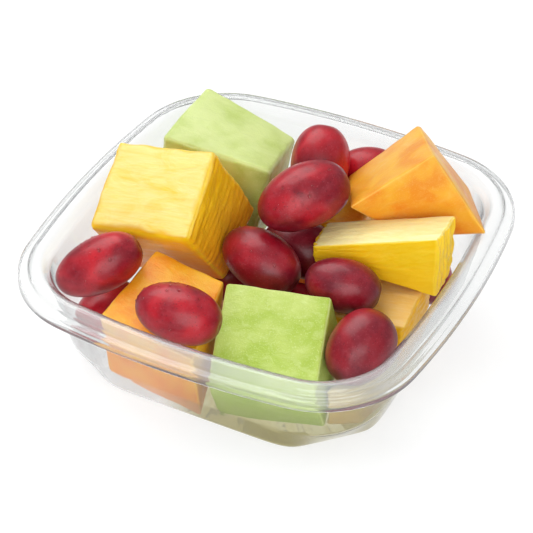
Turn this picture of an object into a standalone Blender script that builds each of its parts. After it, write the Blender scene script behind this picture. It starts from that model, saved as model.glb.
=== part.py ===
# Fruit salad in a clear square tub: chunks of melon and pineapple with red grapes.
# Metres, +Z up. The origin is the middle of the tub's underside.

import math

import bmesh
import bpy
from mathutils import Euler, Matrix, Vector
from mathutils.bvhtree import BVHTree

MM = 0.001

# Tub
WALL = 0.5 * MM                    # thickness of the formed sheet
FLOOR_HALF = 48.9 * MM             # half the width of the flat floor
FLOOR_SIDE_HALF = 30.2 * MM        # half the length of the floor's straight sides
CREASE_HEIGHT = 10.0 * MM          # the sloping foot ends and the steep wall starts here
CREASE_HALF = 52.5 * MM
CREASE_SIDE_RADIUS = 416.0 * MM
CREASE_CORNER_RADIUS = 22.8 * MM
RIM_HALF = 66.0 * MM               # half the width over the flange
RIM_SIDE_RADIUS = 286.0 * MM       # the sides bulge on this radius
RIM_CORNER_RADIUS = 31.2 * MM
SIDE_SPANS = 6                     # faces along each side of the tub
CORNER_SPANS = 6                   # faces round each corner

# The rim's section from the wall up and out to the lip, as half width and height in mm
RIM_SECTION = (
    (55.2, 27.4),                  # step that keeps stacked tubs apart
    (56.0, 34.2),                  # seat of the lid
    (58.6, 37.1),
    (60.5, 37.5),                  # crown of the bead
    (62.4, 36.3),
    (62.8, 34.6),                  # flange
    (65.7, 34.8),
    (66.0, 32.0),                  # lower edge of the lip
)

# Fruit
GAP = 0.35 * MM                    # clearance kept where pieces touch
CHUNK_ROUNDING = 1.4 * MM          # the cut edges are a little rounded
CHUNK_BULGE = 0.6 * MM             # the faces stand proud by this at their middle
GRAPE_RINGS = 9
GRAPE_SEGMENTS = 16
DROP_HEIGHT = 95.0 * MM            # a piece is lowered from here until it rests
DROP_STEP = 1.0 * MM
DROP_HALVINGS = 8

FINISHES = {                       # colour and roughness
    "tub": ((0.86, 0.90, 0.90), 0.1),
    "honeydew": ((0.60, 0.75, 0.28), 0.4),
    "cantaloupe": ((0.95, 0.50, 0.12), 0.4),
    "pineapple": ((0.97, 0.80, 0.16), 0.45),
    "grape": ((0.42, 0.06, 0.10), 0.3),
}

# The pieces in the order they are laid in; the first word of a name is the fruit. size is
# across, along and through a chunk's top face, or a grape's length and width. at is the
# middle in x and y, turn the Euler angles in degrees, and pull moves the corners that have
# the given signs, where 0 stands for both. Lengths are in mm.
PIECES = (
    {"name": "cantaloupe_front", "size": (31.6, 30.6, 26.6), "at": (-15.2, -34.9), "turn": (6, 7, -3),
     "pull": (((1, 1, 0), (-7.6, 0, 0)), ((1, -1, -1), (3.5, 1.4, 1)), ((1, -1, 1), (0.6, 0, 0)),
              ((-1, -1, -1), (2.2, 1, 0)))},
    {"name": "grape_low_middle", "size": (26, 18), "at": (8, -3), "turn": (0, 0, 14)},
    {"name": "pineapple_low", "size": (26, 27, 19), "at": (35.5, 1), "turn": (0, 0, 4),
     "pull": (((1, 0, -1), (-2, 0, 0)), ((-1, -1, 0), (0, 2, 0)), ((1, 0, 1), (0, 0, 5)))},
    {"name": "honeydew_front", "size": (32.1, 33.1, 20.6), "at": (17.5, -31), "turn": (23, -4, 14),
     "pull": (((0, 1, -1), (0, -4, 0)), ((-1, 1, 1), (-0.6, 0.5, 0.8)), ((1, 1, -1), (0.6, -2, 0)),
              ((1, 1, 1), (-0.8, -0.6, 0)))},
    {"name": "pineapple_corner", "size": (13, 22, 14), "at": (44, -25.5), "turn": (0, 0, 3),
     "pull": (((1, -1, 0), (-5, 5, 0)), ((-1, -1, 0), (-1.6, 0, 0)))},
    {"name": "honeydew_back", "size": (34.6, 30.6, 37.6), "at": (-33.2, 33.5), "turn": (-5, 13, 5),
     "pull": (((-1, 1, -1), (5, -8, 0)), ((-1, 0, -1), (4, 0, 0)), ((0, -1, -1), (0, 5, 0)),
              ((-1, 1, 1), (0, 0, -0.4)), ((1, 1, 1), (-0.4, -5, -2.4)), ((-1, -1, 1), (-2.6, 0.4, -5)))},
    {"name": "grape_low_left", "size": (24, 16), "at": (-42, -29), "turn": (0, 0, 80)},
    {"name": "grape_left", "size": (28.5, 17.3), "at": (-39.2, -35.5), "turn": (0, -25, 37)},
    {"name": "grape_low_west", "size": (23, 16), "at": (-34, 8), "turn": (0, 0, 20)},
    {"name": "grape_low_centre", "size": (22, 15.5), "at": (-15.5, 5), "turn": (0, 0, 55)},
    {"name": "cantaloupe_low", "size": (28, 28, 22), "at": (3, 34.5), "turn": (0, 0, 8),
     "pull": (((0, -1, 1), (0, 3, 0)), ((0, -1, -1), (0, -3, -2)))},
    {"name": "grape_low_right", "size": (26, 17), "at": (37, 33), "turn": (0, 0, -45)},
    {"name": "pineapple_left", "size": (34.6, 29, 30.7), "at": (-33, -1), "turn": (29, -11, 1),
     "pull": (((-1, -1, 1), (0, -1, 0)), ((-1, 1, 1), (-1, 0, 0.4)), ((1, -1, 1), (0, -1, -0.6)),
              ((1, 1, -1), (1.2, -2.2, -1.4)), ((1, 1, 1), (-0.6, 0.4, 0.4)),
              ((-1, 1, -1), (0, -3.5, 0)))},
    {"name": "grape_back_right", "size": (21, 16), "at": (13.2, 42.2), "turn": (0, 8, 28)},
    {"name": "grape_dark", "size": (26, 18), "at": (4.5, 12.5), "turn": (0, 8, 5)},
    {"name": "pineapple_wedge", "size": (39.5, 20.6, 13.4), "at": (35, 9.4), "turn": (87, -16, 11),
     "pull": (((-1, -1, 0), (-1, 15, 0)), ((1, -1, 0), (-5, 0, 0)), ((1, 0, -1), (1.5, 0, 0)),
              ((1, 1, -1), (1.4, 0, 0)), ((-1, 0, 1), (-0.8, 0, 0)))},
    {"name": "cantaloupe_right", "size": (29.1, 29.4, 30.9), "at": (35, 28), "turn": (69, -33, 42),
     "pull": (((-1, 1, 1), (-1, 0, -4)), ((-1, -1, 1), (6, 6, -16)), ((-1, -1, -1), (5, 5, 0)),
              ((1, -1, 1), (-1.4, -1, 0.5)), ((1, -1, -1), (0, 2, -0.6)), ((1, 1, -1), (-1, 0, 0)),
              ((-1, 1, -1), (0.6, -0.6, 0.4)))},
    {"name": "grape_right", "size": (23.5, 16.2), "at": (28, -7.9), "turn": (0, 8, 12)},
    {"name": "grape_middle", "size": (27, 18.3), "at": (-0.7, -5.2), "turn": (0, 14, -9)},
    {"name": "grape_corner", "size": (24, 19), "at": (42.6, -26.8), "turn": (0, -23, 77)},
    {"name": "grape_back", "size": (25, 18.5), "at": (2.4, 28.9), "turn": (0, -49, 101)},
    {"name": "grape_top", "size": (30, 20), "at": (6.9, 8.5), "turn": (0, -15, 48)},
    {"name": "grape_front", "size": (26, 17.3), "at": (-5.9, -46.9), "turn": (0, 6, 7)},
)


def four_times(quarter):
    """The quarter outline, repeated for the other three sides."""
    return [Matrix.Rotation(math.pi / 2 * side, 2) @ point for side in range(4) for point in quarter]


def bulged_square(half, side_radius, corner_radius):
    """A square whose sides are wide arcs, tangent to the arcs of its corners."""
    side_centre = half - side_radius
    span = side_radius - corner_radius
    corner_centre = (side_centre + math.sqrt(2 * span ** 2 - side_centre ** 2)) / 2
    reach = math.atan2(corner_centre, corner_centre - side_centre)
    quarter = []
    for i in range(SIDE_SPANS + 1):
        angle = reach * (2 * i / SIDE_SPANS - 1)
        quarter.append(Vector((side_centre + side_radius * math.cos(angle), side_radius * math.sin(angle))))
    for i in range(1, CORNER_SPANS):
        angle = reach + (math.pi / 2 - 2 * reach) * i / CORNER_SPANS
        arm = corner_radius * Vector((math.cos(angle), math.sin(angle)))
        quarter.append(Vector((corner_centre, corner_centre)) + arm)
    return four_times(quarter)


def cut_square(half, side_half):
    """A square with its corners cut off straight."""
    start, end = Vector((half, side_half)), Vector((side_half, half))
    quarter = [Vector((half, side_half * (2 * i / SIDE_SPANS - 1))) for i in range(SIDE_SPANS + 1)]
    quarter += [start.lerp(end, i / CORNER_SPANS) for i in range(1, CORNER_SPANS)]
    return four_times(quarter)


def tub_rings():
    """Rings of the tub's upper surface, from the floor up the wall and out to the lip."""
    rings = [(cut_square(FLOOR_HALF, FLOOR_SIDE_HALF), WALL),
             (bulged_square(CREASE_HALF, CREASE_SIDE_RADIUS, CREASE_CORNER_RADIUS), CREASE_HEIGHT)]
    for half, height in RIM_SECTION:
        inset = RIM_HALF - half * MM
        outline = bulged_square(half * MM, RIM_SIDE_RADIUS - inset, RIM_CORNER_RADIUS - inset)
        rings.append((outline, height * MM))
    return rings


def tub_surface():
    """The rings joined into one open surface with a closed floor, facing up and inwards."""
    surface = bmesh.new()
    loops = [[surface.verts.new((*point, height)) for point in outline] for outline, height in tub_rings()]
    surface.faces.new(loops[0])
    for lower, upper in zip(loops, loops[1:]):
        for i in range(len(lower)):
            surface.faces.new((lower[i - 1], upper[i - 1], upper[i], lower[i]))
    return surface


def chunk_shape(piece):
    """A cut block: a cube with its corners pulled, its faces bulged and its edges rounded."""
    shape = bmesh.new()
    bmesh.ops.create_cube(shape, size=2.0)
    half = Vector(piece["size"]) * MM / 2
    corners = [(vert, Vector(round(c) for c in vert.co)) for vert in shape.verts]
    for vert, signs in corners:
        vert.co = Vector(s * h for s, h in zip(signs, half))
        for which, shift in piece.get("pull", ()):
            if all(w in (0, s) for w, s in zip(which, signs)):
                vert.co += Vector(shift) * MM
    shape.normal_update()
    poked = bmesh.ops.poke(shape, faces=list(shape.faces), offset=0.0)
    for vert in poked["verts"]:
        vert.co += vert.normal * CHUNK_BULGE
    edges = [edge for edge in shape.edges if not any(vert in poked["verts"] for vert in edge.verts)]
    bmesh.ops.bevel(shape, geom=edges, offset=CHUNK_ROUNDING, segments=2, profile=0.6, affect="EDGES")
    return shape


def grape_shape(piece):
    """A ball drawn out to the grape's length, a little fuller at the stem end."""
    length, width = (value * MM for value in piece["size"])
    shape = bmesh.new()
    bmesh.ops.create_uvsphere(shape, u_segments=GRAPE_SEGMENTS, v_segments=GRAPE_RINGS, radius=1.0)
    for vert in shape.verts:
        along = vert.co.z
        radius = width / 2 * (1.0 + 0.05 * along)
        vert.co = Vector((along * length / 2, vert.co.x * radius, vert.co.y * radius))
    return shape


def swollen_tree(shape, place):
    """Search tree of a shape at a place, grown by the clearance."""
    shape.normal_update()
    points = [place @ (vert.co + vert.normal * GAP) for vert in shape.verts]
    return BVHTree.FromPolygons(points, [[vert.index for vert in face.verts] for face in shape.faces])


def rest_height(shape, turned, at, obstacles):
    """Lowers the turned shape over its place until the next step would touch something."""
    def is_clear(height):
        tree = swollen_tree(shape, Matrix.Translation((*at, height)) @ turned)
        return not any(tree.overlap(obstacle) for obstacle in obstacles)

    clear = DROP_HEIGHT
    while is_clear(clear - DROP_STEP):
        clear -= DROP_STEP
    touching = clear - DROP_STEP
    for _ in range(DROP_HALVINGS):
        middle = (clear + touching) / 2
        if is_clear(middle):
            clear = middle
        else:
            touching = middle
    return clear


def material(name):
    colour, roughness = FINISHES[name]
    made = bpy.data.materials.new(name)
    made.use_nodes = True
    shader = made.node_tree.nodes["Principled BSDF"]
    shader.inputs["Base Color"].default_value = (*colour, 1.0)
    shader.inputs["Roughness"].default_value = roughness
    if name == "tub":
        shader.inputs["Transmission Weight"].default_value = 1.0
        shader.inputs["IOR"].default_value = 1.5
    return made


def add_object(name, shape, finish, collection):
    """Writes a shape into a new object of the collection, shaded smooth."""
    shape.normal_update()
    mesh = bpy.data.meshes.new(name)
    shape.to_mesh(mesh)
    mesh.materials.append(finish)
    mesh.shade_smooth()
    mesh.set_sharp_from_angle(angle=math.radians(35))
    added = bpy.data.objects.new(name, mesh)
    collection.objects.link(added)
    return added


def add_tub(collection):
    surface = tub_surface()
    tub = add_object("tub", surface, material("tub"), collection)
    sheet = tub.modifiers.new("sheet", "SOLIDIFY")
    sheet.thickness = WALL
    sheet.offset = -1.0
    sheet.use_even_offset = True
    tree = BVHTree.FromBMesh(surface)
    surface.free()
    return tree


def add_fruit(collection, obstacles):
    finishes = {}
    for piece in PIECES:
        fruit = piece["name"].split("_")[0]
        if fruit not in finishes:
            finishes[fruit] = material(fruit)
        shape = grape_shape(piece) if fruit == "grape" else chunk_shape(piece)
        shape.verts.index_update()
        turned = Euler([math.radians(angle) for angle in piece["turn"]]).to_matrix().to_4x4()
        at = [value * MM for value in piece["at"]]
        height = rest_height(shape, turned, at, obstacles)
        added = add_object(piece["name"], shape, finishes[fruit], collection)
        added.location = (*at, height)
        added.rotation_euler = turned.to_euler()
        bmesh.ops.transform(shape, matrix=Matrix.Translation(added.location) @ turned, verts=shape.verts)
        obstacles.append(BVHTree.FromBMesh(shape))
        shape.free()


def main():
    for old in list(bpy.data.objects):
        bpy.data.objects.remove(old, do_unlink=True)
    collection = bpy.data.collections.new("fruit_salad")
    bpy.context.scene.collection.children.link(collection)
    tub_tree = add_tub(collection)
    add_fruit(collection, [tub_tree])


main()
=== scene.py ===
# Fruit salad in a clear square tub: melon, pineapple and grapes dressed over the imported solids.
import math

import bpy
import numpy as np
from mathutils import Euler, Matrix, Vector


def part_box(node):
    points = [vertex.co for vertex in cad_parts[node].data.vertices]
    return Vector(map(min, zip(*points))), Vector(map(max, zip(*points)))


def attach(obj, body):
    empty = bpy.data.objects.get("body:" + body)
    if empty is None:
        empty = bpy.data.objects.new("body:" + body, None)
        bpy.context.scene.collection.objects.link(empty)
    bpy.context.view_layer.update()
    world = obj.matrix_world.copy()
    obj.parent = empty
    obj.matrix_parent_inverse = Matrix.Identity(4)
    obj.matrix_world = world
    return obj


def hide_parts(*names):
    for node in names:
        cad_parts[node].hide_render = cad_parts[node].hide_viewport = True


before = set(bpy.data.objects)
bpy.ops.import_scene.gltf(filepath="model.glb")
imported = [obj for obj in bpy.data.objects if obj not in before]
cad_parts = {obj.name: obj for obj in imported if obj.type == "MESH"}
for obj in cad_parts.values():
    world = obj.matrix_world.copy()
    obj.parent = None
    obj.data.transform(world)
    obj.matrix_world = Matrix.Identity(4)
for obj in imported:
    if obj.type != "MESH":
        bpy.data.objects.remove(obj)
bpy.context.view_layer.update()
print("frame loaded:", len(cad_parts), "nodes")

mm = 0.001

# Small tools


def rgb(red, green, blue):
    # a colour read as 0 to 255 on a screen, as the linear values that a shader takes
    screen = np.array([red, green, blue]) / 255.0
    linear = np.where(screen <= 0.04045, screen / 12.92, ((screen + 0.055) / 1.055) ** 2.4)
    return (*[float(value) for value in linear], 1.0)


def smoothNoise(points, scale, seed):
    # random numbers on a lattice with cells of the given scale, blended by a smooth step, -1 to 1
    cells = 24
    lattice = np.random.default_rng(seed).uniform(-1.0, 1.0, (cells, cells, cells))
    scaled = points / np.asarray(scale, float)
    low = np.floor(scaled).astype(int)
    part = scaled - low
    part = part * part * (3.0 - 2.0 * part)
    total = np.zeros(len(points))
    for corner in np.ndindex(2, 2, 2):
        step = np.array(corner)
        weight = np.prod(np.where(step == 1, part, 1.0 - part), axis=1)
        i, j, k = ((low + step) % cells).T
        total += weight * lattice[i, j, k]
    return total


def cubeGrid(count):
    # the six faces of a cube, each a grid of two parameters; lattice points that two faces share
    # are merged, so that the skin is closed. Returns the points from -1 to 1 and the quads.
    steps = np.arange(count + 1)
    u, v = np.meshgrid(steps, steps, indexing="ij")
    sheets = []
    quads = []
    square = np.arange((count + 1) ** 2).reshape(count + 1, count + 1)
    ring = [square[:-1, :-1], square[1:, :-1], square[1:, 1:], square[:-1, 1:]]
    corners = np.stack(ring, axis=-1).reshape(-1, 4)
    for axis in range(3):
        for side in (0, count):
            sheet = np.empty((count + 1, count + 1, 3), int)
            sheet[..., axis] = side
            sheet[..., (axis + 1) % 3] = u
            sheet[..., (axis + 2) % 3] = v
            quads.append((corners if side else corners[:, ::-1]) + len(sheets) * (count + 1) ** 2)
            sheets.append(sheet.reshape(-1, 3))
    lattice, index = np.unique(np.concatenate(sheets), axis=0, return_inverse=True)
    even = lattice / count * 2.0 - 1.0
    return even, index.reshape(-1)[np.concatenate(quads)]


def meshObject(name, points, faces, finish, layers=None):
    # points in metres and faces as lists of point numbers make a smooth mesh object at the origin;
    # each layer holds a number or a vector for every point
    mesh = bpy.data.meshes.new(name)
    mesh.from_pydata(points.tolist(), [], faces)
    for layer, values in (layers or {}).items():
        kind, field = ("FLOAT_VECTOR", "vector") if values.ndim == 2 else ("FLOAT", "value")
        mesh.attributes.new(layer, kind, "POINT").data.foreach_set(field, values.ravel())
    mesh.shade_smooth()
    mesh.materials.append(finish)
    made = bpy.data.objects.new(name, mesh)
    bpy.context.scene.collection.objects.link(made)
    return made


def settle(points, node):
    # moves a piece so that its box is centred in its node's box, and shrinks what would stand out
    low, high = (np.array(corner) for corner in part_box(node))
    pieceLow, pieceHigh = points.min(axis=0), points.max(axis=0)
    fit = np.minimum(1.0, (high - low) / (pieceHigh - pieceLow))
    return (points - (pieceLow + pieceHigh) / 2) * fit + (low + high) / 2


def turned(points, angles):
    # turned by Euler angles in degrees about the origin
    matrix = np.array(Euler([math.radians(angle) for angle in angles]).to_matrix())
    return points @ matrix.T


def take(piece, node):
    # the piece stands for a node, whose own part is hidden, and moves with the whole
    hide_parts(node)
    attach(piece, "root")


# Node trees


class Tree:
    # a material's node tree with short calls for adding and joining nodes
    def __init__(self, name):
        self.material = bpy.data.materials.new(name)
        self.material.use_nodes = True
        self.nodes = self.material.node_tree.nodes
        self.links = self.material.node_tree.links
        self.shader = self.nodes["Principled BSDF"]
        self.output = self.nodes["Material Output"]

    def plug(self, target, value):
        if isinstance(value, bpy.types.NodeSocket):
            self.links.new(value, target)
        else:
            target.default_value = value

    def add(self, kind, inputs=None, **settings):
        made = self.nodes.new("ShaderNode" + kind)
        for key, value in settings.items():
            setattr(made, key, value)
        for key, value in (inputs or {}).items():
            self.plug(made.inputs[key], value)
        return made

    def layer(self, name):
        return self.add("Attribute", attribute_name=name)

    def noise(self, vector, scale, detail=3.0, roughness=0.5, distortion=0.0):
        return self.add("TexNoise", {"Vector": vector, "Scale": scale, "Detail": detail,
                                     "Roughness": roughness, "Distortion": distortion}).outputs["Fac"]

    def stretched(self, vector, scale):
        return self.add("Mapping", {"Vector": vector, "Scale": scale}).outputs["Vector"]

    def spread(self, value, low, high, toLow=0.0, toHigh=1.0):
        # value from low to high becomes toLow to toHigh, held at both ends
        return self.add("MapRange", {"Value": value, "From Min": low, "From Max": high,
                                     "To Min": toLow, "To Max": toHigh}).outputs["Result"]

    def blend(self, amount, first, second, how="MIX"):
        made = self.add("Mix", data_type="RGBA", blend_type=how)
        self.plug(made.inputs["Factor"], amount)
        self.plug(made.inputs[6], first)
        self.plug(made.inputs[7], second)
        return made.outputs[2]

    def times(self, first, second):
        made = self.add("Math", operation="MULTIPLY")
        self.plug(made.inputs[0], first)
        self.plug(made.inputs[1], second)
        return made.outputs[0]

    def bump(self, height, distance, strength=1.0, under=None):
        inputs = {"Height": height, "Distance": distance, "Strength": strength}
        if under is not None:
            inputs["Normal"] = under
        return self.add("Bump", inputs).outputs["Normal"]


# Finishes: colours as red, green and blue from 0 to 255. speck is the strength of the pale speckle,
# and scatter how far light of each colour spreads below the skin

# deep is painted shade lower down on a piece, and pale also paints a highlight on the cut edges
melonLooks = {
    "honeydew": {"main": (168, 192, 72), "soft": (190, 208, 108), "deep": (150, 184, 52),
                 "pale": (220, 232, 164), "speck": 0.4, "scatter": (0.8, 1.0, 0.35)},
    "cantaloupe": {"main": (238, 144, 14), "soft": (246, 182, 36), "deep": (232, 122, 20),
                   "pale": (250, 204, 104), "speck": 0.35, "scatter": (1.0, 0.5, 0.2)},
}


def melonFinish(name, looks):
    # wet melon flesh: soft cloudy patches, a fine pale speckle, cut edges paler as a painted highlight, a
    # darker deeper colour lower down on each piece as painted shade, and muted pieces nearer to white
    tree = Tree(name)
    place = tree.layer("grain").outputs["Vector"]
    edge, deep, muted = (tree.layer(layer).outputs["Fac"] for layer in ("edge", "deep", "muted"))
    cloud = tree.noise(place, 0.1, 2.0, 0.5, 0.3)
    streaks = tree.noise(tree.stretched(place, (0.6, 1.0, 1.0)), 0.4, 3.0, 0.5, 0.8)
    cells = tree.noise(place, 2.4, 2.0, 0.5)
    colour = tree.blend(tree.spread(cloud, 0.38, 0.64), rgb(*looks["main"]), rgb(*looks["soft"]))
    colour = tree.blend(tree.spread(streaks, 0.5, 0.75, 0.0, 0.3), colour, rgb(*looks["pale"]))
    whitened = tree.times(tree.spread(cloud, 0.3, 0.6, 0.5, 1.0), muted)
    colour = tree.blend(whitened, colour, rgb(*looks["pale"]))
    # painted shade: darker and deeper lower down on the piece
    colour = tree.blend(tree.spread(deep, 0.25, 1.0, 0.0, 0.7), colour, rgb(*looks["deep"]))
    colour = tree.blend(tree.spread(cells, 0.56, 0.72, 0.0, looks["speck"]), colour, rgb(*looks["pale"]))
    # painted highlight: paler at the cut edges
    colour = tree.blend(tree.spread(edge, 0.3, 1.0, 0.0, 0.6), colour, rgb(*looks["pale"]))
    tree.plug(tree.shader.inputs["Base Color"], colour)
    tree.plug(tree.shader.inputs["Roughness"], tree.spread(streaks, 0.35, 0.7, 0.3, 0.5))
    tree.shader.inputs["Specular IOR Level"].default_value = 0.35
    tree.shader.inputs["Subsurface Weight"].default_value = 0.25
    tree.shader.inputs["Subsurface Radius"].default_value = looks["scatter"]
    tree.shader.inputs["Subsurface Scale"].default_value = 3.5 * mm
    low = tree.bump(streaks, 0.2 * mm)
    tree.plug(tree.shader.inputs["Normal"], tree.bump(cells, 0.08 * mm, 1.0, low))
    return tree.material


# amber, and the colours for shaded and muted pieces, are painted shade; edge is painted light on cut edges
pineappleLooks = {"top": (248, 218, 118), "wisp": (244, 202, 44), "topThread": (253, 246, 196),
                  "frayedTop": (253, 246, 184), "flank": (246, 190, 12), "flankThread": (252, 218, 62),
                  "frayedFlank": (255, 213, 22), "amberShade": (236, 100, 40), "edge": (250, 208, 16),
                  "shaded": (226, 146, 8), "muted": (186, 170, 112), "scatter": (1.0, 0.75, 0.15)}


def pineappleFinish(looks):
    # threads along the piece's own x: a pale top with golden wisps, deep yellow cut edges as painted
    # light along the edges, and flanks that turn to amber lower down as painted shade. Coarse pieces show
    # their threads and are brighter; shaded ones are browner and muted ones duller, both as painted shade
    tree = Tree("pineapple")
    place = tree.layer("grain").outputs["Vector"]
    edge, deep, top = (tree.layer(layer).outputs["Fac"] for layer in ("edge", "deep", "top"))
    coarse, shaded, muted = (tree.layer(layer).outputs["Fac"] for layer in ("coarse", "shaded", "muted"))
    threads = tree.noise(tree.stretched(place, (0.1, 1.0, 1.0)), 1.1, 3.0, 0.55, 0.5)
    wisps = tree.noise(tree.stretched(place, (0.55, 1.0, 1.0)), 0.16, 4.0, 0.6, 1.4)
    lit = tree.times(tree.spread(threads, 0.36, 0.66), coarse)
    flank = tree.blend(lit, rgb(*looks["flank"]), rgb(*looks["flankThread"]))
    # painted shade: amber on the flanks lower down, less on coarse pieces
    amberShade = tree.times(tree.spread(deep, 0.25, 0.85, 0.0, 0.8), tree.spread(coarse, 0.0, 1.0, 1.0, 0.1))
    flank = tree.blend(amberShade, flank, rgb(*looks["amberShade"]))
    wispy = tree.times(tree.spread(wisps, 0.44, 0.74), tree.spread(coarse, 0.0, 1.0, 1.0, 0.4))
    roof = tree.blend(wispy, rgb(*looks["top"]), rgb(*looks["wisp"]))
    roof = tree.blend(tree.times(lit, 0.9), roof, rgb(*looks["topThread"]))
    frayed = tree.spread(coarse, 0.5, 0.7, 0.0, 0.6)
    roof = tree.blend(frayed, roof, rgb(*looks["frayedTop"]))
    flank = tree.blend(frayed, flank, rgb(*looks["frayedFlank"]))
    colour = tree.blend(top, flank, roof)
    # painted light: deep yellow along the cut edges
    colour = tree.blend(tree.spread(edge, 0.2, 0.9, 0.0, 0.7), colour, rgb(*looks["edge"]))
    # painted shade: browner for a piece lying in shade
    colour = tree.blend(shaded, colour, rgb(*looks["shaded"]))
    # painted shade: duller khaki for a piece in the dim corner
    colour = tree.blend(muted, colour, rgb(*looks["muted"]))
    tree.plug(tree.shader.inputs["Base Color"], colour)
    tree.plug(tree.shader.inputs["Roughness"], tree.spread(threads, 0.4, 0.65, 0.28, 0.5))
    tree.shader.inputs["Specular IOR Level"].default_value = 0.4
    tree.shader.inputs["Subsurface Weight"].default_value = 0.25
    tree.shader.inputs["Subsurface Radius"].default_value = looks["scatter"]
    tree.shader.inputs["Subsurface Scale"].default_value = 3.5 * mm
    broad = tree.bump(wisps, 0.3 * mm)
    ribs = tree.bump(tree.times(threads, coarse), 0.22 * mm, 0.7, broad)
    tree.plug(tree.shader.inputs["Normal"], ribs)
    return tree.material


# under is painted shade on the lower side, and haze is partly a painted highlight
grapeSkinLooks = {"dark": (140, 8, 30), "bright": (204, 18, 36), "deep": (80, 8, 30), "under": (58, 4, 20),
                  "haze": (214, 110, 126), "grit": (222, 120, 132), "freckle": (70, 8, 26),
                  "scatter": (1.0, 0.15, 0.15)}


def grapeFinish(looks):
    # red skin, darker at the ends and with painted shade below, under a thin hazy bloom whose pink is
    # partly a painted highlight, with small dark freckles
    tree = Tree("grape")
    place = tree.layer("grain").outputs["Vector"]
    tone, under = (tree.layer(layer).outputs["Fac"] for layer in ("tone", "under"))
    cloud = tree.noise(place, 0.09, 2.0, 0.5, 0.4)
    haze = tree.noise(place, 0.4, 3.0, 0.6, 0.4)
    grit = tree.noise(place, 2.2, 2.0, 0.55)
    freckles = tree.add("TexVoronoi", {"Vector": place, "Scale": 0.9}).outputs["Distance"]
    skin = tree.blend(tree.spread(cloud, 0.36, 0.62), rgb(*looks["dark"]), rgb(*looks["bright"]))
    skin = tree.blend(tone, skin, rgb(*looks["deep"]))
    # painted shade on the lower side
    skin = tree.blend(tree.spread(under, 0.0, 1.0, 0.0, 0.8), skin, rgb(*looks["under"]))
    # pink haze: partly the bloom's own colour, partly a painted highlight
    colour = tree.blend(tree.spread(haze, 0.45, 0.78, 0.0, 0.1), skin, rgb(*looks["haze"]))
    colour = tree.blend(tree.spread(grit, 0.6, 0.74, 0.0, 0.18), colour, rgb(*looks["grit"]))
    colour = tree.blend(tree.spread(freckles, 0.1, 0.22, 0.6, 0.0), colour, rgb(*looks["freckle"]))
    tree.plug(tree.shader.inputs["Base Color"], colour)
    tree.plug(tree.shader.inputs["Roughness"], tree.spread(grit, 0.35, 0.7, 0.3, 0.44))
    tree.shader.inputs["Subsurface Weight"].default_value = 0.15
    tree.shader.inputs["Subsurface Radius"].default_value = looks["scatter"]
    tree.shader.inputs["Subsurface Scale"].default_value = 2.5 * mm
    tree.shader.inputs["Specular IOR Level"].default_value = 0.36
    tree.shader.inputs["Coat Weight"].default_value = 0.16
    tree.shader.inputs["Coat Roughness"].default_value = 0.18
    tree.plug(tree.shader.inputs["Normal"], tree.bump(grit, 0.05 * mm, 0.8, tree.bump(haze, 0.06 * mm)))
    return tree.material


def dropletFinish():
    # clear water that lets light through to the skin below
    tree = Tree("droplet")
    tree.shader.inputs["Base Color"].default_value = rgb(252, 246, 246)
    tree.shader.inputs["Transmission Weight"].default_value = 1.0
    tree.shader.inputs["Roughness"].default_value = 0.03
    tree.shader.inputs["IOR"].default_value = 1.33
    return tree.material


# heights in mm over which the shading of the wall sets in and the sheet turns cloudy
# the front-right tint and the darker colour for the middle of the floor are painted shade
tubLooks = {"clear": (244, 245, 245), "shade": (54, 57, 60), "shadeTint": (200, 190, 132),
            "floorShade": (120, 66, 40), "shadow": (240, 243, 243), "shadeHeights": (10.0, 26.0),
            "rimHeights": (33.0, 35.5), "clearness": (0.98, 0.88)}


def tubFinish(looks):
    # clear sheet that lets light through to the fruit: greyer where it is seen along its face, a
    # little cloudy on the rim, and tinted with painted shade at the front right and on the middle of the
    # floor
    tree = Tree("tub")
    shader = tree.shader
    along = tree.add("LayerWeight", {"Blend": 0.5}).outputs["Facing"]
    height = tree.layer("height").outputs["Fac"]
    shade = tree.times(tree.spread(along, 0.45, 0.95),
                       tree.spread(height, *looks["shadeHeights"], 0.25, 1.0))
    tint = tree.blend(shade, rgb(*looks["clear"]), rgb(*looks["shade"]))
    # painted shade: the front right of the wall is tinted, and the middle of the floor goes darker
    shadeTint = tree.layer("shadeTint").outputs["Fac"]
    tintedShade = tree.blend(1.0, tint, rgb(*looks["shadeTint"]), "MULTIPLY")
    tint = tree.blend(tree.spread(shadeTint, 0.0, 1.0), tint, tintedShade)
    tint = tree.blend(tree.spread(shadeTint, 1.0, 2.0), tint, rgb(*looks["floorShade"]))
    tree.plug(shader.inputs["Base Color"], tint)
    clearness = tree.spread(height, *looks["rimHeights"], *looks["clearness"])
    tree.plug(shader.inputs["Transmission Weight"], clearness)
    shader.inputs["Roughness"].default_value = 0.03
    shader.inputs["IOR"].default_value = 1.38
    haze = tree.noise(tree.add("TexCoord").outputs["Object"], 60.0, 3.0, 0.5)
    tree.plug(shader.inputs["Normal"], tree.bump(haze, 0.1 * mm, 0.5))
    clear = tree.add("BsdfTransparent", {"Color": rgb(*looks["shadow"])})
    shadow = tree.add("LightPath").outputs["Is Shadow Ray"]
    mixed = tree.add("MixShader", {0: shadow, 1: shader.outputs[0], 2: clear.outputs[0]})
    tree.plug(tree.output.inputs["Surface"], mixed.outputs[0])
    return tree.material


# Chunks, in mm and degrees: size along the piece's own axes, turn, rounding of the edges, and pull,
# which moves the corners with the given signs, where 0 stands for both. fray is the length of the
# frayed ends, taper how far threads draw together, clearing how the muting fades downward, and
# coarse, shaded and muted go to the finish; on pineapple the last two are painted shade

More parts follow.
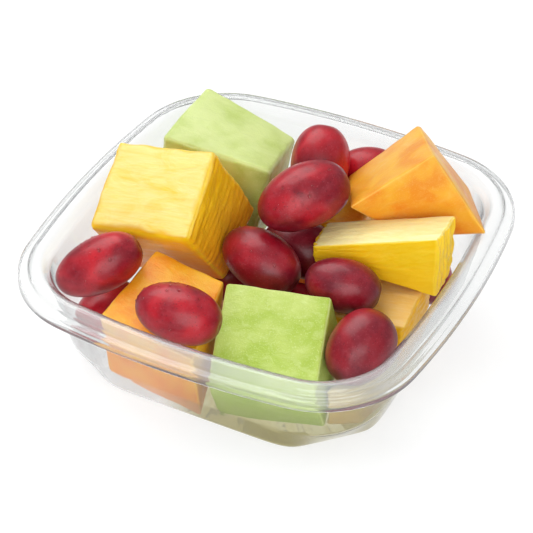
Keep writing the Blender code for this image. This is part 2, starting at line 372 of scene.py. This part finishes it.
chunks = {
    "honeydew_front": {"size": (32.1, 33.1, 20.6), "turn": (23, -4, 14), "rounding": 0.9,
        "pull": (((0, 1, -1), (0, -4, 0)), ((-1, 1, 1), (-0.6, 0.5, 0.8)), ((1, 1, -1), (0.6, -2, 0)),
                 ((1, 1, 1), (-0.8, -0.6, 0)))},
    "honeydew_back": {"size": (34.6, 30.6, 37.6), "turn": (-5, 13, 5), "rounding": 1.6,
        "muted": 0.75, "clearing": 1.4,
        "pull": (((-1, 1, -1), (5, -8, 0)), ((-1, 0, -1), (4, 0, 0)), ((0, -1, -1), (0, 5, 0)),
                 ((-1, 1, 1), (0, 0, -0.4)), ((1, 1, 1), (-0.4, -5, -2.4)),
                 ((-1, -1, 1), (-2.6, 0.4, -5)))},
    "cantaloupe_front": {"size": (31.6, 30.6, 26.6), "turn": (6, 7, -3), "rounding": 1.0,
        "pull": (((1, 1, 0), (-7.6, 0, 0)), ((1, -1, -1), (3.5, 1.4, 1)), ((1, -1, 1), (0.6, 0, 0)),
                 ((-1, -1, -1), (2.2, 1, 0)))},
    "cantaloupe_low": {"size": (28, 28, 22), "turn": (0, 0, 8), "rounding": 1.2,
        "pull": (((0, -1, 1), (0, 3, 0)), ((0, -1, -1), (0, -3, -2)))},
    "cantaloupe_right": {"size": (29.1, 29.4, 30.9), "turn": (69, -33, 42), "rounding": 1.1,
        "muted": 0.15,
        "pull": (((-1, 1, 1), (-1, 0, -4)), ((-1, -1, 1), (6, 6, -16)), ((-1, -1, -1), (5, 5, 0)),
                 ((1, -1, 1), (-1.4, -1, 0.5)), ((1, -1, -1), (0, 2, -0.6)), ((1, 1, -1), (-1, 0, 0)),
                 ((-1, 1, -1), (0.6, -0.6, 0.4)))},
    # browner as painted shade, for the piece lying in shade under the wedge
    "pineapple_low": {"size": (26, 27, 19), "turn": (0, 0, 4), "rounding": 1.2,
        "fray": 0.5, "coarse": 0.6, "shaded": 0.5,
        "pull": (((1, 0, -1), (-2, 0, 0)), ((-1, -1, 0), (0, 2, 0)), ((1, 0, 1), (0, 0, 5)))},
    # muted to dull khaki as painted shade, for the dim front corner seen through the wall
    "pineapple_corner": {"size": (13, 22, 14), "turn": (0, 0, 3), "rounding": 1.2,
        "fray": 0.4, "coarse": 0.2, "muted": 0.85,
        "pull": (((1, -1, 0), (-5, 5, 0)), ((-1, -1, 0), (-1.6, 0, 0)))},
    "pineapple_left": {"size": (34.6, 29, 30.7), "turn": (29, -11, 1), "rounding": 2.4,
        "fray": 0.3, "coarse": 0.25,
        "pull": (((-1, -1, 1), (0, -1, 0)), ((-1, 1, 1), (-1, 0, 0.4)), ((1, -1, 1), (0, -1, -0.6)),
                 ((1, 1, -1), (1.2, -2.2, -1.4)), ((1, 1, 1), (-0.6, 0.4, 0.4)),
                 ((-1, 1, -1), (0, -3.5, 0)))},
    "pineapple_wedge": {"size": (39.5, 20.6, 13.4), "turn": (87, -16, 11), "rounding": 0.9,
        "fray": 0.7, "taper": 0.55, "coarse": 0.7,
        "pull": (((-1, -1, 0), (-1, 15, 0)), ((1, -1, 0), (-5, 0, 0)), ((1, 0, -1), (1.5, 0, 0)),
                 ((1, 1, -1), (1.4, 0, 0)), ((-1, 0, 1), (-0.8, 0, 0)))},
}

# uneven is how much the rounding varies; bulge of the faces, waves and strands of the relief in mm
chunkLooks = {
    "honeydew": {"uneven": 0.45, "bulge": 0.6, "wave": 0.3, "waveLength": 9.0, "strand": 0.0},
    "cantaloupe": {"uneven": 0.45, "bulge": 0.6, "wave": 0.3, "waveLength": 9.0, "strand": 0.0},
    "pineapple": {"uneven": 0.5, "bulge": 0.6, "wave": 0.35, "waveLength": 8.0, "strand": 0.16},
}
chunkGrid = 76               # cells along each edge of a chunk
gridBunching = 0.4           # how far the grid's lines crowd towards the cut edges
roundingLength = 4.0         # mm over which the rounding varies
strandCells = (9.0, 1.3, 1.3)    # mm
edgeFull = 0.29              # one less the largest part of the normal, where a cut edge is palest
roofFacing = (0.45, 0.75)    # upward part of the normal, from flank to top
grainStep = 40.0             # shifts each piece's pattern to another place of the noise
# frayed ends start at a share of the half length; cells of the threads in mm
frayLooks = {"from": 0.7, "coarse": (30.0, 6.0, 1.1), "fine": (30.0, 3.0, 0.6), "fineShare": 0.6,
             "sink": 0.3}


def chunkSurface(shape, looks, seed):
    # a point of the cube is pulled back to an inner block and pushed out again by the rounding; the
    # faces bulge by a parabola each way, waves and strands lift the skin along its normal, frayed
    # ends are lifted in threads, and the corners' pulls are spread through the block by the product
    # of the distances to the far sides
    cube, faces = cubeGrid(chunkGrid)
    spaced = (1.0 - gridBunching) * cube + gridBunching * np.sin(cube * math.pi / 2)
    half = np.array(shape["size"], float) / 2
    block = spaced * half
    uneven = looks["uneven"] * smoothNoise(block, roundingLength, seed)
    rounding = shape["rounding"] * (1.0 + uneven)[:, None]
    inner = np.clip(block, rounding - half, half - rounding)
    outward = block - inner
    outward /= np.linalg.norm(outward, axis=1)[:, None]
    skin = inner + rounding * outward
    flat = 1.0 - spaced ** 2
    skin += looks["bulge"] * spaced * np.roll(flat, 1, axis=1) * np.roll(flat, 2, axis=1)
    lift = looks["wave"] * smoothNoise(block, looks["waveLength"], seed + 1)
    if looks["strand"]:
        lift += looks["strand"] * shape["coarse"] * smoothNoise(block, strandCells, seed + 2)
    skin += outward * lift[:, None]
    if "fray" in shape:
        past = (np.abs(spaced[:, 0]) - frayLooks["from"]) / (1.0 - frayLooks["from"])
        threads = smoothNoise(block, frayLooks["coarse"], seed + 3)
        threads += frayLooks["fineShare"] * smoothNoise(block, frayLooks["fine"], seed + 4)
        atEnd = np.sign(spaced[:, 0]) * np.clip(past, 0.0, 1.0) ** 2
        skin[:, 0] += atEnd * shape["fray"] * (threads - frayLooks["sink"])
    edge = np.clip((1.0 - np.abs(outward).max(axis=1)) / edgeFull, 0.0, 1.0)
    share = np.clip(skin / half, -1.0, 1.0)
    for signs, shift in shape["pull"]:
        weight = np.prod(np.where(np.array(signs) == 0, 1.0, (1.0 + share * signs) / 2), axis=1)
        skin = skin + np.multiply.outer(weight, np.array(shift, float))
    return skin, faces, edge, outward


finishes = {name: melonFinish(name, looks) for name, looks in melonLooks.items()}
finishes["pineapple"] = pineappleFinish(pineappleLooks)
print("fruit finishes made:", len(finishes))
for seed, (node, shape) in enumerate(chunks.items()):
    fruit = node.split("_")[0]
    skin, faces, edge, outward = chunkSurface(shape, chunkLooks[fruit], 10 * seed + 3)
    points = settle(turned(skin, shape["turn"]) * mm, node)
    facing = turned(outward, shape["turn"])[:, 2]
    height = points[:, 2]
    # threads draw together towards the low x end of a tapered piece
    grain = skin.copy()
    grain[:, 1:] /= 1.0 - shape.get("taper", 0.0) * (0.5 - skin[:, :1] / shape["size"][0])
    # deep grows toward the bottom of each piece and carries the finishes' painted shade
    deep = (height.max() - height) / (height.max() - height.min())
    cleared = np.clip(1.0 - shape.get("clearing", 0.0) * deep, 0.0, 1.0)
    layers = {"grain": grain + grainStep * seed, "edge": edge, "deep": deep,
              "top": np.clip((facing - roofFacing[0]) / (roofFacing[1] - roofFacing[0]), 0.0, 1.0),
              "coarse": np.full(len(skin), shape.get("coarse", 0.0)),
              "shaded": np.full(len(skin), shape.get("shaded", 0.0)),
              "muted": shape.get("muted", 0.0) * cleared}
    take(meshObject("fruit_" + node, points, faces.tolist(), finishes[fruit], layers), node)
print("chunks made:", len(chunks))

# Grapes: length and width in mm, turn in degrees, and tone from 0 red to 1 almost black

grapes = {
    "grape_low_middle": {"size": (26, 18), "turn": (0, 0, 14), "tone": 0.3},
    "grape_low_centre": {"size": (22, 15.5), "turn": (0, 0, 55), "tone": 0.6},
    "grape_low_left": {"size": (24, 16), "turn": (0, 0, 80), "tone": 0.3},
    "grape_left": {"size": (28.5, 17.3), "turn": (0, -25, 37), "tone": 0.12},
    "grape_low_west": {"size": (23, 16), "turn": (0, 0, 20), "tone": 0.3},
    "grape_low_right": {"size": (26, 17), "turn": (0, 0, -45), "tone": 0.3},
    "grape_back_right": {"size": (21, 16), "turn": (0, 8, 28), "tone": 0.05},
    "grape_dark": {"size": (26, 18), "turn": (0, 8, 5), "tone": 0.75},
    "grape_right": {"size": (23.5, 16.2), "turn": (0, 8, 12), "tone": 0.58},
    "grape_middle": {"size": (27, 18.3), "turn": (0, 14, -9), "tone": 0.45},
    "grape_corner": {"size": (24, 19), "turn": (0, -23, 77), "tone": 0.5},
    "grape_back": {"size": (25, 18.5), "turn": (0, -49, 101), "tone": 0.16},
    "grape_top": {"size": (30, 20), "turn": (0, -15, 48), "tone": 0.25},
    "grape_front": {"size": (26, 17.3), "turn": (0, 6, 7), "tone": 0.22},
}
# fuller is the extra width at the stem end and barrel its roundness; the tone grows by endTone from
# endFrom along the half length, and painted shade darkens the underside below the share underTop of the
# height
grapeLooks = {"fuller": 0.05, "barrel": 0.92, "wave": 0.3, "waveLength": 11.0, "dimple": 0.6,
              "dimpleWidth": 1.5, "endFrom": 0.6, "endTone": 0.5, "underTop": 0.55}
grapeGrid = 44
grapeSeed = 500


def grapeSurface(size, looks, seed):
    # a ball drawn out along x: the distance from the axis follows the sine of the angle from the end,
    # raised to the barrel power, times a fullness that grows to the stem end; a bell shaped dimple
    # sinks the stem end, and slow waves make it uneven
    cube, faces = cubeGrid(grapeGrid)
    ball = np.tan(cube * math.pi / 4)
    ball /= np.linalg.norm(ball, axis=1)[:, None]
    length, width = size
    along = ball[:, 0]
    away = np.sqrt(np.maximum(1.0 - along ** 2, 1e-12))
    radius = width / 2 * away ** looks["barrel"] * (1.0 + looks["fuller"] * along)
    across = ball[:, 1:] / away[:, None] * radius[:, None]
    skin = np.column_stack([along * length / 2, across])
    skin += ball * (looks["wave"] * smoothNoise(skin, looks["waveLength"], seed))[:, None]
    near = np.exp(-(radius / looks["dimpleWidth"]) ** 2) * (along > 0)
    skin[:, 0] -= looks["dimple"] * near
    return skin, faces, along


finishes["grape"] = grapeFinish(grapeSkinLooks)
grapeSkins = {}
for seed, (node, shape) in enumerate(grapes.items()):
    skin, faces, along = grapeSurface(shape["size"], grapeLooks, grapeSeed + seed)
    points = settle(turned(skin, shape["turn"]) * mm, node)
    grapeSkins[node] = points
    end = np.clip((np.abs(along) - grapeLooks["endFrom"]) / (1.0 - grapeLooks["endFrom"]), 0.0, 1.0)
    tone = np.clip(shape["tone"] + grapeLooks["endTone"] * end ** 2, 0.0, 1.0)
    height = points[:, 2]
    share = (height - height.min()) / (height.max() - height.min())
    layers = {"grain": skin + grainStep * seed, "tone": tone,
              "under": np.clip(1.0 - share / grapeLooks["underTop"], 0.0, 1.0)}
    take(meshObject("fruit_" + node, points, faces.tolist(), finishes["grape"], layers), node)
print("grapes made:", len(grapes))

# Water droplets on the upper grapes: how many on each, radius in mm, height over radius, and the
# side of a grape that they sit on, out to where the normal's part along it falls to the reach

droplets = {"grapes": {"grape_left": 34, "grape_front": 26, "grape_top": 24, "grape_middle": 12},
            "radius": (0.22, 0.62), "height": 0.55, "rings": 6, "segments": 12, "seed": 71,
            "side": (-0.25, -0.35, 0.9), "reach": 0.35}


def dropletBall(settings):
    # a ball of rings and segments with one point at each pole
    rings, segments = settings["rings"], settings["segments"]
    down, around = np.meshgrid(np.linspace(0.0, math.pi, rings + 1)[1:-1],
                               np.arange(segments) / segments * 2 * math.pi, indexing="ij")
    body = np.stack([np.sin(down) * np.cos(around), np.sin(down) * np.sin(around), np.cos(down)], axis=-1)
    points = np.vstack([body.reshape(-1, 3), [0.0, 0.0, 1.0], [0.0, 0.0, -1.0]])
    index = np.arange(len(points) - 2).reshape(rings - 1, segments)
    following = np.roll(index, -1, axis=1)
    sides = np.stack([index[:-1], index[1:], following[1:], following[:-1]], axis=-1).reshape(-1, 4)
    top = np.full(segments, len(points) - 2)
    faces = sides.tolist() + np.column_stack([top, index[0], following[0]]).tolist()
    return points, faces + np.column_stack([top + 1, following[-1], index[-1]]).tolist()


def scatterDroplets(settings):
    # each droplet is a flattened ball that sits on a random point of a grape's upper skin, with its
    # height along the line from the grape's middle
    ball, faces = dropletBall(settings)
    random = np.random.default_rng(settings["seed"])
    places, outwards = [], []
    for node, count in settings["grapes"].items():
        skin = grapeSkins[node]
        middle = (skin.min(axis=0) + skin.max(axis=0)) / 2
        outward = (skin - middle) / np.linalg.norm(skin - middle, axis=1)[:, None]
        seen = np.flatnonzero(outward @ settings["side"] > settings["reach"])
        chosen = random.choice(seen, count, replace=False)
        places.append(skin[chosen])
        outwards.append(outward[chosen])
    places, outwards = np.concatenate(places), np.concatenate(outwards)
    low, high = settings["radius"]
    radii = (low + (high - low) * random.random(len(places)) ** 2) * mm
    side = np.cross(outwards, (0.0, 0.0, 1.0))
    side /= np.linalg.norm(side, axis=1)[:, None]
    across = np.cross(outwards, side)
    spread = ball[None, :, 0:1] * side[:, None] + ball[None, :, 1:2] * across[:, None]
    spread = spread + settings["height"] * ball[None, :, 2:3] * outwards[:, None]
    points = places[:, None] + radii[:, None, None] * spread
    steps = len(ball) * np.arange(len(places))
    allFaces = [[corner + step for corner in face] for step in steps.tolist() for face in faces]
    return points.reshape(-1, 3), allFaces


dropPoints, dropFaces = scatterDroplets(droplets)
dropObject = meshObject("droplets", dropPoints, dropFaces, dropletFinish())
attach(dropObject, "root")
print("droplets made:", sum(droplets["grapes"].values()))

# Tub: half widths, heights and radii in mm. fold is the reach of the rounding of each fold, and rim
# the section from the wall out to the lip. Painted shade tints the wall up to shadeTop, from shadeWest
# and shadeNorth on, and a darker painted shade lies round the middle of the floor

tub = {"sheet": 0.5, "floorHalf": 48.9, "floorSideHalf": 30.2, "floorSoftening": 8, "creaseHalf": 52.5,
       "creaseHeight": 10.0, "creaseSideRadius": 416.0, "creaseCornerRadius": 22.8, "rimHalf": 66.0,
       "rimSideRadius": 286.0, "rimCornerRadius": 31.2, "sideSteps": 24, "cornerSteps": 24, "fold": 1.1,
       "foldSteps": 4, "shadeTop": 13.0, "shadeFade": 5.0, "shadeWest": -12.0, "shadeNorth": 12.0,
       "shadeSideFade": 16.0, "floorShadeRadius": 40.0, "floorShadeFade": 10.0, "floorShadeTop": 1.0,
       "rim": ((55.2, 27.4), (56.0, 34.2), (58.6, 37.1), (60.5, 37.5), (62.4, 36.3), (62.8, 34.6),
               (65.7, 34.8), (66.0, 32.0))}


def fourTimes(quarter):
    quarterTurn = np.array([[0.0, 1.0], [-1.0, 0.0]])
    return np.concatenate([quarter @ np.linalg.matrix_power(quarterTurn, side) for side in range(4)])


def bulgedSquare(half, sideRadius, cornerRadius, settings):
    # a square whose sides are wide arcs, tangent to the arcs of its corners; one quarter is worked
    # out and turned for the other three
    sideCentre = half - sideRadius
    span = sideRadius - cornerRadius
    cornerCentre = (sideCentre + math.sqrt(2 * span ** 2 - sideCentre ** 2)) / 2
    reach = math.atan2(cornerCentre, cornerCentre - sideCentre)
    side = np.linspace(-reach, reach, settings["sideSteps"] + 1)
    corner = np.linspace(reach, math.pi / 2 - reach, settings["cornerSteps"] + 1)[1:-1]
    sidePoints = np.column_stack([sideCentre + sideRadius * np.cos(side), sideRadius * np.sin(side)])
    cornerPoints = cornerCentre + cornerRadius * np.column_stack([np.cos(corner), np.sin(corner)])
    return fourTimes(np.concatenate([sidePoints, cornerPoints]))


def cutSquare(half, sideHalf, settings):
    # a square with its corners cut off straight, then softened by averaging each point with its
    # neighbours a few times
    side = np.linspace(-sideHalf, sideHalf, settings["sideSteps"] + 1)
    corner = np.linspace(0.0, 1.0, settings["cornerSteps"] + 1)[1:-1, None]
    start, end = np.array([half, sideHalf]), np.array([sideHalf, half])
    sidePoints = np.column_stack([np.full(len(side), half), side])
    outline = fourTimes(np.concatenate([sidePoints, start * (1 - corner) + end * corner]))
    for _ in range(settings["floorSoftening"]):
        outline = (np.roll(outline, 1, axis=0) + 2 * outline + np.roll(outline, -1, axis=0)) / 4
    return outline


def tubSurface(settings):
    # rings from the middle of the floor up the wall and out to the lip; each fold is rounded by a
    # curve of second degree between the points that lie the fold's reach before and after it
    floor = cutSquare(settings["floorHalf"], settings["floorSideHalf"], settings)
    crease = bulgedSquare(settings["creaseHalf"], settings["creaseSideRadius"],
                          settings["creaseCornerRadius"], settings)
    outlines = [(floor * 0.9, settings["sheet"]), (floor, settings["sheet"]),
                (crease, settings["creaseHeight"])]
    for half, height in settings["rim"]:
        inset = settings["rimHalf"] - half
        outlines.append((bulgedSquare(half, settings["rimSideRadius"] - inset,
                                      settings["rimCornerRadius"] - inset, settings), height))
    around = len(floor)
    folds = [np.column_stack([outline, np.full(around, height)]) for outline, height in outlines]
    rings = [folds[0] * (share, share, 1.0) for share in (0.25, 0.5, 0.75)] + [folds[0]]
    curve = np.linspace(0.0, 1.0, settings["foldSteps"] + 1)
    for before, fold, after in zip(folds, folds[1:], folds[2:]):
        gaps = [np.linalg.norm(near[0] - fold[0]) for near in (before, after)]
        reach = [min(0.45, settings["fold"] / gap) for gap in gaps]
        start = fold + reach[0] * (before - fold)
        end = fold + reach[1] * (after - fold)
        rings += [(1 - t) ** 2 * start + 2 * t * (1 - t) * fold + t * t * end for t in curve]
    rings.append(folds[-1])
    points = np.concatenate(rings)
    index = np.arange(len(points)).reshape(len(rings), around)
    following = np.roll(index, -1, axis=1)
    faces = np.stack([index[:-1], index[1:], following[1:], following[:-1]], axis=-1).reshape(-1, 4)
    cap = np.column_stack([index[0], following[0], np.full(around, len(points))])
    return np.vstack([points, [0.0, 0.0, settings["sheet"]]]), faces.tolist() + cap.tolist()


def paintedTubShade(points, settings):
    # painted shade dims the foot and the lower wall at the front right, fading out in even steps upward
    # and along both sides, and a darker painted shade lies on the middle of the floor, where the amount
    # goes to 2
    x, y, z = points.T
    amount = np.clip((settings["shadeTop"] - z) / settings["shadeFade"], 0.0, 1.0)
    amount *= np.clip((x - settings["shadeWest"]) / settings["shadeSideFade"], 0.0, 1.0)
    amount *= np.clip((settings["shadeNorth"] - y) / settings["shadeSideFade"], 0.0, 1.0)
    floorShade = np.clip((settings["floorShadeRadius"] - np.hypot(x, y)) / settings["floorShadeFade"], 0.0, 1.0)
    return np.maximum(amount, 2.0 * floorShade * (z < settings["floorShadeTop"]))


tubPoints, tubFaces = tubSurface(tub)
tubLayers = {"height": tubPoints[:, 2], "shadeTint": paintedTubShade(tubPoints, tub)}
tubObject = meshObject("tub_clear", tubPoints * mm, tubFaces, tubFinish(tubLooks), tubLayers)
sheet = tubObject.modifiers.new("sheet", "SOLIDIFY")
sheet.thickness = tub["sheet"] * mm
sheet.offset = -1.0
sheet.use_even_offset = True
take(tubObject, "tub")
print("tub made")

# Studio: metres, degrees and watts. The sky goes from the horizon's strength to its own between two
# heights of the direction looked in

studio = {"floorHalf": 3.0, "floorTone": (150, 150, 150), "floorGlow": 0.72, "sky": 0.6, "horizon": 0.1,
          "skyHeights": (0.05, 0.45),
          "lights": {"key": {"place": (-0.5, 0.3, 0.9), "size": 0.9, "power": 7.2},
                     "fill": {"place": (0.45, -0.85, 0.5), "size": 0.9, "power": 6.4}},
          "lightTarget": (0.0, 0.0, 0.03),
          "camera": {"azimuth": 27.037, "elevation": 39.62, "roll": -0.15, "distance": 0.60535,
                     "across": -0.00132, "above": -0.00792, "targetHeight": 0.032, "lens": 135.09,
                     "sensor": 36.0, "clipStart": 0.01}}


def makeFloor(settings):
    # a wide square with a faint glow of its own, so that the ground stays white
    half = settings["floorHalf"]
    corners = np.array([[-half, -half, 0.0], [half, -half, 0.0], [half, half, 0.0], [-half, half, 0.0]])
    tree = Tree("floor")
    tree.shader.inputs["Base Color"].default_value = rgb(*settings["floorTone"])
    tree.shader.inputs["Roughness"].default_value = 0.9
    tree.shader.inputs["Emission Color"].default_value = rgb(255, 255, 255)
    tree.shader.inputs["Emission Strength"].default_value = settings["floorGlow"]
    meshObject("floor", corners, [[0, 1, 2, 3]], tree.material)


def makeSky(settings):
    # white overhead and darker at the horizon, so that the clear tub's edges are drawn
    world = bpy.data.worlds.new("studio")
    world.use_nodes = True
    nodes, links = world.node_tree.nodes, world.node_tree.links
    direction = nodes.new("ShaderNodeTexCoord").outputs["Generated"]
    parts = nodes.new("ShaderNodeSeparateXYZ")
    links.new(direction, parts.inputs[0])
    ramp = nodes.new("ShaderNodeMapRange")
    links.new(parts.outputs["Z"], ramp.inputs["Value"])
    ramp.inputs["From Min"].default_value, ramp.inputs["From Max"].default_value = settings["skyHeights"]
    ramp.inputs["To Min"].default_value = settings["horizon"]
    ramp.inputs["To Max"].default_value = settings["sky"]
    links.new(ramp.outputs["Result"], nodes["Background"].inputs["Strength"])
    nodes["Background"].inputs["Color"].default_value = (1.0, 1.0, 1.0, 1.0)
    bpy.context.scene.world = world


def makeLight(name, settings, target):
    # a square panel of light that faces the target
    light = bpy.data.lights.new(name, "AREA")
    light.energy = settings["power"]
    light.size = settings["size"]
    made = bpy.data.objects.new(name, light)
    made.location = settings["place"]
    made.rotation_euler = (Vector(settings["place"]) - Vector(target)).to_track_quat("Z", "Y").to_euler()
    bpy.context.scene.collection.objects.link(made)


def makeCamera(settings):
    # looks at a point above the middle of the floor from the azimuth and elevation, rolled a little,
    # and is then moved across and up in its own plane
    azimuth, elevation, roll = (math.radians(settings[key]) for key in ("azimuth", "elevation", "roll"))
    back = Vector((math.sin(azimuth) * math.cos(elevation), -math.cos(azimuth) * math.cos(elevation),
                   math.sin(elevation)))
    right = Vector((math.cos(azimuth), math.sin(azimuth), 0.0))
    up = back.cross(right)
    rolledRight = math.cos(roll) * right + math.sin(roll) * up
    rolledUp = math.cos(roll) * up - math.sin(roll) * right
    place = (back * settings["distance"] + rolledRight * settings["across"] + rolledUp * settings["above"]
             + Vector((0.0, 0.0, settings["targetHeight"])))
    data = bpy.data.cameras.new("camera")
    data.lens = settings["lens"]
    data.sensor_width = settings["sensor"]
    data.clip_start = settings["clipStart"]
    camera = bpy.data.objects.new("camera", data)
    axes = Matrix((rolledRight, rolledUp, back)).transposed().to_4x4()
    camera.matrix_world = Matrix.Translation(place) @ axes
    bpy.context.scene.collection.objects.link(camera)
    bpy.context.scene.camera = camera


makeFloor(studio)
for name, light in studio["lights"].items():
    makeLight(name, light, studio["lightTarget"])
makeCamera(studio["camera"])
makeSky(studio)
bpy.context.scene.view_settings.view_transform = "Standard"
print("studio made")
